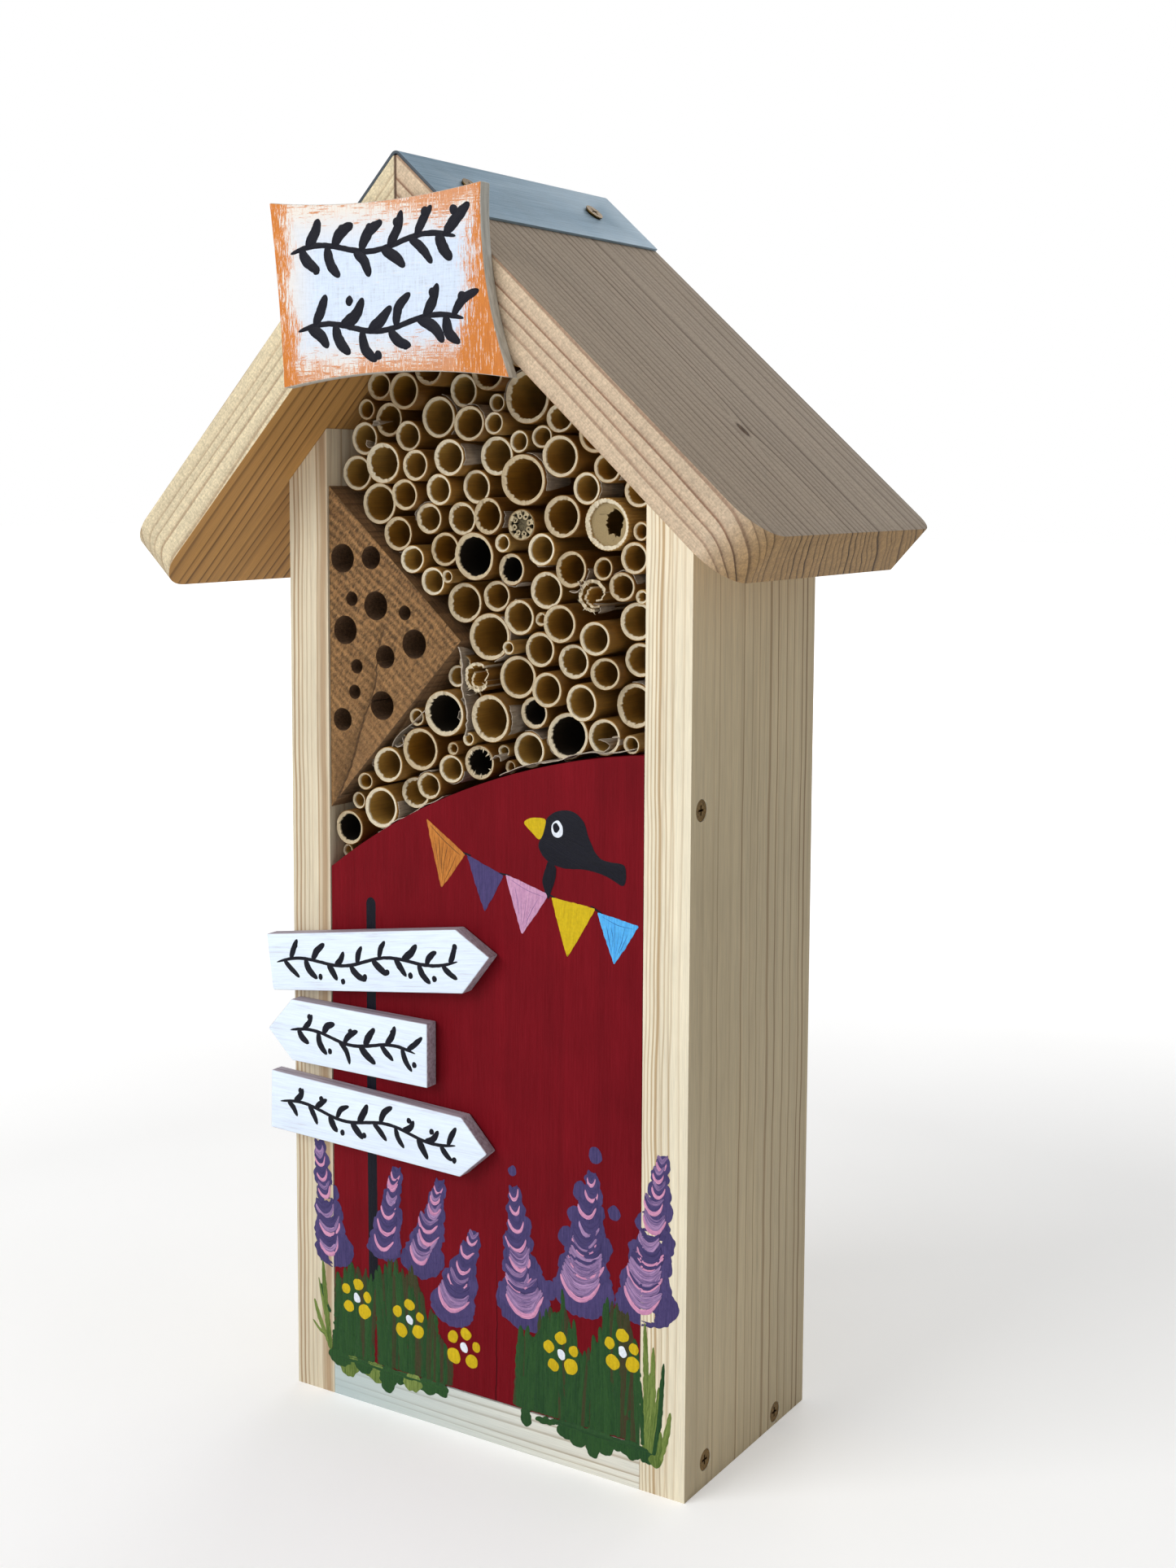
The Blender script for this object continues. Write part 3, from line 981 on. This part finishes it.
def patch(shell, outline, level=0, tone=None, face=on_house, rag=0.2, along=(0, 1), step=0.8, smooth=True):
    """A filled shape of paint with rounded edges"""
    line = curve(outline, step, True) if smooth else [Vector(p) for p in outline]
    n = len(line)
    seed = dice.uniform(0, 900)
    tone = dice.random() if tone is None else tone
    high = 0.07 + 0.016 * level + dice.uniform(0, 0.008)
    area = sum(line[i].x * line[(i + 1) % n].y - line[(i + 1) % n].x * line[i].y for i in range(n))
    if area < 0:
        line.reverse()
    outer, inner = [], []
    for i, p in enumerate(line):
        lead = (line[(i + 1) % n] - line[i - 1]).normalized()
        inward = Vector((-lead.y, lead.x))
        q = p + inward * rag * noise.noise(Vector((p.x * 0.6, p.y * 0.6, seed)))
        outer.append(q)
        inner.append(q + inward * 0.28)
    points = [(q.x, face(q.x, q.y) + 0.05, q.y) for q in outer]
    points += [(q.x, face(q.x, q.y) - high * 0.6, q.y) for q in outer]
    points += [(q.x, face(q.x, q.y) - high, q.y) for q in inner]
    faces = []
    for r in (0, 1):
        faces += [(r * n + i, r * n + (i + 1) % n, (r + 1) * n + (i + 1) % n, (r + 1) * n + i) for i in range(n)]
    for ring, base in ((outer, 0), (inner, 2 * n)):
        fill = tessellate_polygon([[Vector((q.x, q.y, 0)) for q in ring]])
        faces += [tuple(base + i for i in tri) for tri in fill]
    way = Vector(along).normalized()
    uv = [((Vector((p[0], p[2])).dot(way)), Vector((p[0], p[2])).dot(Vector((-way.y, way.x)))) for p in points]
    shell.add(points, faces, 0, tone, 0.0, uv)


def blob(shell, x, z, rx, rz, level, tilt=0.0, tone=None, face=on_house, rag=0.25):
    ring = []
    for k in range(9):
        t = 2 * math.pi * k / 9
        wob = 1 + dice.uniform(-0.08, 0.08)
        c, s = rx * math.cos(t) * wob, rz * math.sin(t) * wob
        ring.append((x + c * math.cos(tilt) - s * math.sin(tilt), z + c * math.sin(tilt) + s * math.cos(tilt)))
    patch(shell, ring, level, tone, face, rag, step=0.5)


paints = {
    "purple": brush_paint("purple_paint", (0.042, 0.033, 0.118), (0.085, 0.062, 0.185)),
    "lilac": brush_paint("lilac_paint", (0.065, 0.045, 0.16), (0.46, 0.28, 0.50)),
    "pink": brush_paint("pink_paint", (0.42, 0.17, 0.35), (0.72, 0.33, 0.50)),
    "green": brush_paint("green_paint", (0.012, 0.052, 0.016), (0.028, 0.092, 0.022)),
    "moss": brush_paint("moss_paint", (0.060, 0.030, 0.016), (0.032, 0.062, 0.018)),
    "olive": brush_paint("olive_paint", (0.065, 0.125, 0.018), (0.23, 0.30, 0.075)),
    "yellow": brush_paint("yellow_paint", (0.54, 0.37, 0.004), (0.68, 0.49, 0.010)),
    "white": brush_paint("white_dab_paint", (0.68, 0.74, 0.84), (0.86, 0.90, 0.96)),
    "black": brush_paint("black_paint", (0.003, 0.0032, 0.008), (0.007, 0.0075, 0.016), 0.45),
    "orange": brush_paint("orange_paint", (0.36, 0.115, 0.018), (0.62, 0.235, 0.045)),
    "blue": brush_paint("blue_paint", (0.045, 0.30, 0.74), (0.12, 0.52, 0.94)),
    "rose": brush_paint("rose_paint", (0.46, 0.23, 0.40), (0.64, 0.35, 0.52)),
    "umber": brush_paint("umber_paint", (0.035, 0.018, 0.008), (0.16, 0.07, 0.02)),
    "navy": brush_paint("navy_paint", (0.02, 0.11, 0.33), (0.05, 0.22, 0.55)),
    "plum": brush_paint("plum_paint", (0.19, 0.10, 0.24), (0.33, 0.19, 0.36)),
}
dabs = {name: Shell() for name in paints}


def lupin(top, foot, width, florets, shift=0.0):
    """A flower spike: purple dabs behind, then rows of cupped lilac strokes edged in pink"""
    top, foot = Vector(top), Vector(foot)
    down = (foot - top).normalized()
    across = Vector((-down.y, down.x))
    if across.x < 0:
        across = -across
    length = (foot - top).length
    rows = [((k + 0.5) / florets) ** 1.25 for k in range(florets)]
    for k, t in enumerate(rows):
        c = top + down * length * t
        w = 4.6 + (width - 4.6) * t
        off = 0.07 * w * math.sin(k * 2.3 + shift)
        blob(dabs["purple"], c.x + off + 0.5, c.y - 0.6, w * 0.53, 2.4 + w * 0.23, k % 3, dice.uniform(-0.3, 0.3), rag=0.6)
    for t in (0.62, 0.86, 0.96):
        c = top + down * length * t
        w = 4.6 + (width - 4.6) * t
        blob(dabs["purple"], c.x + 0.4, c.y, w * 0.54, w * 0.36, 1, 0.0, rag=0.8)
    for k, t in enumerate(rows):
        c = top + down * length * t
        w = (4.6 + (width - 4.6) * t) * (0.66 + 0.09 * math.sin(k * 1.7 + shift))
        deep = 0.36 * w + 1.2
        c = c + across * (0.09 * w * math.sin(k * 2.9 + shift) - 0.04 * w)
        lines = max(3, int(w / 2.2))
        for j in range(lines):
            rise = j * (1.05 + 0.02 * w)
            spread = w / 2 * (1 - 0.04 * j)
            sag = deep * (1 - 0.13 * j)
            ends = (dice.uniform(-0.3, 0.6), dice.uniform(0.0, 1.6))
            path = []
            for s in (-1.0, -0.75, -0.4, 0.0, 0.4, 0.75, 1.0):
                drop = sag * (1 - abs(s) ** 2.2) - rise
                drop -= ends[0 if s < 0 else 1] * abs(s) ** 3
                p = c + across * (s * spread * (1 if s < 0 else dice.uniform(0.86, 1.1))) + down * (drop - 0.15 * w)
                path.append((p.x, p.y))
            kind = "pink" if j == 0 and dice.random() < 0.75 or j == 1 and dice.random() < 0.22 else "lilac"
            if j >= lines - 2 and dice.random() < 0.75:
                kind = "purple"
            bright = max(0.0, 1.0 - 1.25 * j / lines + dice.uniform(-0.2, 0.2))
            stroke(dabs[kind], path, (1.4 if kind == "pink" else 1.75) + 0.04 * w, 5 + k + (0 if j == 0 else 1), bright,
                   rag=0.35, taper=(0.3, 0.55))


def posy(x, z):
    """Five yellow petals round a white dab"""
    turn = dice.uniform(-0.15, 0.15)
    for angle, size in ((85, 2.2), (20, 1.9), (-42, 2.7), (232, 2.45), (155, 2.15)):
        a = math.radians(angle) + turn
        far = dice.uniform(5.0, 5.8)
        size *= dice.uniform(0.88, 1.08)
        blob(dabs["yellow"], x + far * math.cos(a), z + far * math.sin(a), size, size * 1.08, 9, a, rag=0.15)
    blob(dabs["white"], x + 0.3, z, 1.5, 1.9, 10, 0.5, rag=0.3)


def tuft(left, right, crest, count, gap=15.7):
    """A bed of upright grass strokes under a crest line, given as (x, z) points"""
    def top(x):
        for (xa, za), (xb, zb) in zip(crest, crest[1:]):
            if xa <= x <= xb:
                return za + (zb - za) * (x - xa) / (xb - xa)
        return crest[-1][1]
    for k in range(count):
        x = left + (right - left) * (k + dice.random()) / count
        tip = top(x) + dice.uniform(-7, 2.5)
        if tip < gap + 4:
            tip = gap + 4
        lean = dice.uniform(-0.10, 0.12) * (tip - gap)
        start_x = min(max(x - lean, left - 1.5), right + 1.5)
        near_edge = tip > top(x) - 3.5
        kind = "moss" if near_edge and dice.random() < 0.55 or dice.random() < 0.16 else "green"
        path = [(start_x, gap), (start_x + 0.3 * lean, gap + (tip - gap) * 0.4), (min(max(x, -64), 64), tip)]
        stroke(dabs[kind], path, dice.uniform(2.6, 4.6), 1 + k % 4 + (3 if kind == "green" else 1), rag=0.3,
               taper=(0.03, 0.6))


# The black post behind the signs
stroke(dabs["black"], [(-46.4, 39), (-46.7, 110), (-46.5, 185.6)], 4.5, 0, 0.2, rag=0.06, taper=(0.01, 0.03))

# Bunting and its cord
flags = (("orange", (-22.2, 216), (-5.8, 205.2), (-15.9, 192.4)), ("purple", (-5.4, 205.4), (9.9, 199.6), (2.2, 186.3)),
         ("rose", (10.6, 200.3), (28.2, 195.4), (17.3, 180.6)), ("yellow", (29.0, 194.6), (46.2, 192.8), (35.3, 175.0)),
         ("blue", (46.8, 191.8), (62.6, 189.0), (53.4, 175.1)))
for (_, _, b, _), (_, a, _, _) in zip(flags, flags[1:]):
    stroke(dabs["black"], [(b[0] - 2, b[1] + 0.7), ((a[0] + b[0]) / 2, (a[1] + b[1]) / 2 + 0.1), (a[0] + 2, a[1] - 0.4)],
           0.7, 1, taper=0.1)
for kind, a, b, tip in flags:
    a, b, tip = Vector(a), Vector(b), Vector(tip)
    ring = []
    for p, q in ((a, b), (b, tip), (tip, a)):
        bow = (q - p).orthogonal().normalized() * (0.5 if (p, q) != (a, b) else 0.1)
        mid = (a + b + tip) / 3
        ring += [p.lerp(mid, 0.04), p.lerp(q, 0.08), p.lerp(q, 0.5) + bow * 0.3, p.lerp(q, 0.92)]
    heading = tip - (a + b) / 2
    patch(dabs[kind], ring, 3, 0.6, rag=0.25, along=tuple(heading))
    marks = {"orange": ("umber", 6), "rose": ("plum", 5), "blue": ("navy", 6)}.get(kind)
    if marks:
        for k in range(marks[1]):
            t = (k + 0.6) / marks[1]
            head = a.lerp(b, 0.1 + 0.8 * t).lerp(tip, dice.uniform(0.10, 0.25))
            foot = head.lerp(tip, dice.uniform(0.5, 0.85))
            bend = head.lerp(foot, 0.5) + Vector((dice.uniform(-0.5, 0.5), 0))
            stroke(dabs[marks[0]], [head, bend, foot], dice.uniform(0.35, 0.8), 4, rag=0.4)
        stroke(dabs[marks[0]], [a.lerp(tip, 0.06).lerp(b, 0.08), a.lerp(b, 0.5) - Vector((0, 2.0)), b.lerp(tip, 0.1).lerp(a, 0.06)],
               0.55, 4, rag=0.4)

# A plain songbird perched on the cord
patch(dabs["black"], [(27.0, 220.2), (30.6, 223.2), (36.6, 224.0), (41.3, 221.2), (43.7, 215.4), (47.4, 209.9),
                      (52.5, 208.7), (57.2, 208.0), (56.9, 201.6), (50.0, 204.0), (42.0, 205.2), (34.0, 204.8),
                      (27.6, 206.5), (23.9, 210.8), (25.6, 215.4)], 3, 0.3, rag=0.15, along=(1, -0.4))
patch(dabs["black"], [(28.0, 206.6), (30.9, 204.4), (30.2, 199.6), (28.9, 196.4), (27.9, 193.8), (26.4, 196.4),
                      (25.5, 199.8), (26.6, 203.8)], 4, 0.25, rag=0.15)
patch(dabs["yellow"], [(18.2, 218.3), (20.0, 219.9), (23.4, 220.6), (26.6, 220.2), (26.6, 217.6), (25.3, 214.4),
                       (24.0, 213.4), (21.4, 215.4)], 5, 0.35, rag=0.1)
blob(dabs["white"], 31.3, 217.5, 2.55, 3.0, 5, rag=0.12)
blob(dabs["black"], 30.9, 217.9, 1.45, 1.75, 7, tone=0.1, rag=0.08)

# Grass, its roots on the frame, and the blades on the side boards
tuft(-64.2, -12, ((-64.2, 45), (-58, 47), (-54, 52), (-48, 46), (-42, 53), (-35, 55), (-27, 54), (-24, 43),
                  (-17, 36), (-12, 24)), 74)
tuft(16.5, 64.2, ((16.5, 44), (22, 45), (26, 51), (33, 61), (38, 52), (43, 42), (48, 52), (52, 63), (58, 62),
                  (62, 50), (64.2, 46)), 70)
for x, z, r, low in ((-62, 14.2, 5, 3.2), (-57.5, 13.2, 5, 4.8), (-51, 13.6, 4.5, 2.8), (-45.5, 13.0, 5, 3.6),
                     (-40, 11.9, 3.6, 5.0), (-35, 13.4, 3.5, 2.4), (-29, 13.2, 4.6, 3.2), (-22, 13.6, 4.6, 2.8),
                     (-16.5, 13.9, 3.4, 2.4),
                     (19.3, 13.6, 2.4, 3.4), (27.5, 14.3, 4.5, 1.2), (36, 13.2, 4.4, 3.2), (40.5, 12.6, 3.8, 4.4),
                     (46.6, 12.0, 3.4, 5.6), (51, 12.6, 3.8, 4.4), (56, 13.6, 3.6, 2.0), (61.5, 13.2, 4.4, 3.2)):
    kind = "green" if x > 0 else "olive" if dice.random() < 0.25 else "green"
    blob(dabs[kind], x, z - 0.4, r, low, 2 + int(abs(x)) % 3, dice.uniform(-0.15, 0.15), rag=0.7)
stroke(dabs["green"], [(-65, 14.4), (-50, 14.5), (-30, 14.4), (-14, 14.3)], 2.0, 6, rag=0.5, taper=0.05)
stroke(dabs["green"], [(30, 14.5), (48, 14.4), (68, 14.2)], 1.8, 6, rag=0.5, taper=0.05)
for x, z, tip_x, tip_z, w in ((-66.2, 16, -69.6, 49, 2.6), (-66.4, 18, -73.6, 33.5, 2.2), (-66.8, 21, -74.4, 25.5, 1.3),
                              (-66.0, 30, -70.5, 40, 1.6), (-66.0, 22, -71.5, 42, 1.2),
                              (66.6, 10.5, 66.2, 57.5, 2.6), (67.8, 10, 69.4, 50, 2.8), (69.4, 10.2, 73.4, 45.5, 2.4),
                              (68.6, 12, 71.6, 37, 2.2), (71.0, 9.6, 76.0, 29.4, 2.6), (70.6, 11, 72.4, 22, 2.2),
                              (66.4, 20, 68.2, 41, 1.6)):
    bend = ((x + tip_x) / 2 + (1.2 if x > 0 else -0.8) * 0.4, (z + tip_z) / 2 - 1)
    stroke(dabs["olive" if dice.random() < 0.6 else "green"], [(x, z), bend, (tip_x, tip_z)], w, 3 + int(z) % 3,
           dice.uniform(0.0, 0.8), rag=0.4, taper=(0.12, 0.75))
blob(dabs["green"], 67.2, 12.2, 3.0, 2.6, 4, rag=0.6)
blob(dabs["olive"], 70.4, 11.6, 2.6, 2.2, 5, tone=0.0, rag=0.6)

# Lupins
lupin((-70.9, 92.6), (-64.6, 51.5), 16.5, 7, 0.4)
lupin((-36.2, 88.5), (-42.2, 58.5), 14, 6, 1.3)
lupin((-17.2, 87.5), (-25.5, 57.0), 17, 6, 2.6)
lupin((-2.8, 72.5), (-12.6, 43.5), 19, 5, 0.9)
lupin((14.2, 92), (18.4, 49), 22, 7, 3.3)
lupin((45.6, 103), (41.6, 60), 24, 7, 5.0)
lupin((72.0, 113.5), (65.0, 61.5), 22, 9, 1.9)
for x, z, r in ((13.4, 98.4, 1.7), (46.6, 110.0, 2.6), (40.8, 97.0, 3.0), (38.6, 88.5, 2.8), (35.6, 80.0, 3.4),
                (28.4, 60.0, 3.2), (54.0, 92.0, 2.4)):
    blob(dabs["purple"], x, z, r, r * 1.1, 1, rag=0.4)

for spot in ((-54.3, 38.0), (-30.6, 35.5), (-7.0, 31.2), (33.3, 38.6), (57.2, 45.5)):
    posy(*spot)


def leaf(shell, root, heading, size, width, face, level=2):
    root, way = Vector(root), Vector(heading).normalized()
    side = Vector((-way.y, way.x)) * dice.uniform(-0.18, 0.18) * size
    stroke(shell, [root, root + way * size * 0.5 + side, root + way * size], width, level, face=face, rag=0.18,
           taper=(0.45, 0.6))


def vine(start, end, count, size, wave, face, width=1.1):
    """A plain leafy sprig with berries along a sign"""
    start, end = Vector(start), Vector(end)
    run = end - start
    up = Vector((-run.y, run.x)).normalized()
    at = lambda t: start + run * t + up * wave * math.sin(t * count * 1.57)
    shell = dabs["black"]
    stroke(shell, [at(k / 16) for k in range(17)], width, 1, face=face, rag=0.2, taper=0.12)
    for k in range(count):
        t = (k + 0.5) / count
        lead = (at(min(t + 0.03, 1)) - at(t)).normalized()
        for flip in (1, -1):
            turn = Vector((-lead.y, lead.x)) * flip
            leaf(shell, at(t + 0.02 * flip), lead * 0.75 + turn * dice.uniform(0.75, 1.05), size * dice.uniform(0.8, 1.1),
                 width * dice.uniform(1.7, 2.3), face, 2 + k % 2)
        berry = at(t + 0.45 / count) + up * dice.choice((-1, 1)) * size * dice.uniform(0.5, 0.7)
        blob(shell, berry.x, berry.y, width * 0.75, width * 0.8, 3, face=face, rag=0.1)


vine((-85, 158.4), (-5, 169.4), 8, 8.2, 1.4, on_sign("arrow_sign_upper"), 1.35)
vine((-79, 134.4), (-23, 134.6), 6, 8.2, 1.4, on_sign("arrow_sign_middle"), 1.35)
vine((-84, 107.3), (-6, 105.2), 8, 8.0, 1.4, on_sign("arrow_sign_lower"), 1.35)
vine((-49, 404), (17, 406), 6, 12, 1.8, on_sign("gable_sign"), 2.0)
vine((-46, 379), (20, 381), 6, 12, 1.8, on_sign("gable_sign"), 2.0)

for name, shell in dabs.items():
    shell.piece("paint_" + name, [paints[name]], "white_paint" if name == "white" else "red_paint", smooth=50)


# ---- Stage ------------------------------------------------------------------------------------

def studio():
    n = Nodes("pale_floor")
    at = n.place()
    cloud = n.noise(at, 0.004, 3.0)
    grit = n.noise(at, 0.5, 3.0)
    colour = n.mix(n.spread(cloud, 0.3, 0.7), (0.90, 0.90, 0.895), (0.94, 0.94, 0.938))
    seen = n.node("ShaderNodeLightPath")
    far = n.spread(n.vector("LENGTH", at), 350.0, 1500.0, 0.22, 1.0)
    mat = n.finish(colour, n.spread(grit, 0.3, 0.7, 0.8, 0.95), n.math("MULTIPLY", grit, 0.02),
                   Emission_Color=(1, 1, 1), Emission_Strength=n.math("MULTIPLY", seen, far))
    size = 9.0
    verts = [(-size, -size, 0), (size, -size, 0), (size, size, 0), (-size, size, 0)]
    faces = [(0, 1, 2, 3)]
    mesh = bpy.data.meshes.new("floor")
    mesh.from_pydata(verts, [], faces)
    mesh.materials.append(mat)
    floor = bpy.data.objects.new("floor", mesh)
    bpy.context.scene.collection.objects.link(floor)

    def lamp(name, at, aim, size, power, colour=(1, 1, 1)):
        data = bpy.data.lights.new(name, "AREA")
        data.shape = "RECTANGLE"
        data.size, data.size_y = size
        data.energy = power
        data.color = colour
        obj = bpy.data.objects.new(name, data)
        obj.location = at
        obj.rotation_euler = (Vector(aim) - Vector(at)).to_track_quat("-Z", "Y").to_euler()
        bpy.context.scene.collection.objects.link(obj)

    middle = (0, 0, 0.22)
    lamp("key", (-0.75, -1.5, 1.05), middle, (1.3, 1.0), 21)
    lamp("front", (0.1, -1.9, 0.35), middle, (1.6, 1.2), 8)
    lamp("top", (0.3, 0.2, 1.7), middle, (1.6, 1.6), 5)
    lamp("back", (-0.3, 2.0, 1.0), middle, (1.6, 1.2), 11)
    world = bpy.data.worlds.new("pale")
    world.use_nodes = True
    sky = world.node_tree
    seen = sky.nodes.new("ShaderNodeLightPath")
    level = sky.nodes.new("ShaderNodeMapRange")
    level.inputs["To Min"].default_value = 0.28
    level.inputs["To Max"].default_value = 1.0
    sky.links.new(seen.outputs["Is Camera Ray"], level.inputs["Value"])
    sky.links.new(level.outputs[0], sky.nodes["Background"].inputs["Strength"])
    sky.nodes["Background"].inputs["Color"].default_value = (1, 1, 1, 1)
    bpy.context.scene.world = world

    camera = bpy.data.objects.new("camera", bpy.data.cameras.new("camera"))
    camera.location = (0.3816, -0.5823, 0.3335)
    camera.rotation_euler = [math.radians(a) for a in (84.209, -0.255, 32.166)]
    camera.data.lens = 45.579
    camera.data.sensor_width = 36
    camera.data.shift_y = -0.0693
    camera.data.clip_start = 0.01
    bpy.context.scene.collection.objects.link(camera)
    bpy.context.scene.camera = camera


studio()
bpy.context.scene.view_settings.view_transform = "Standard"
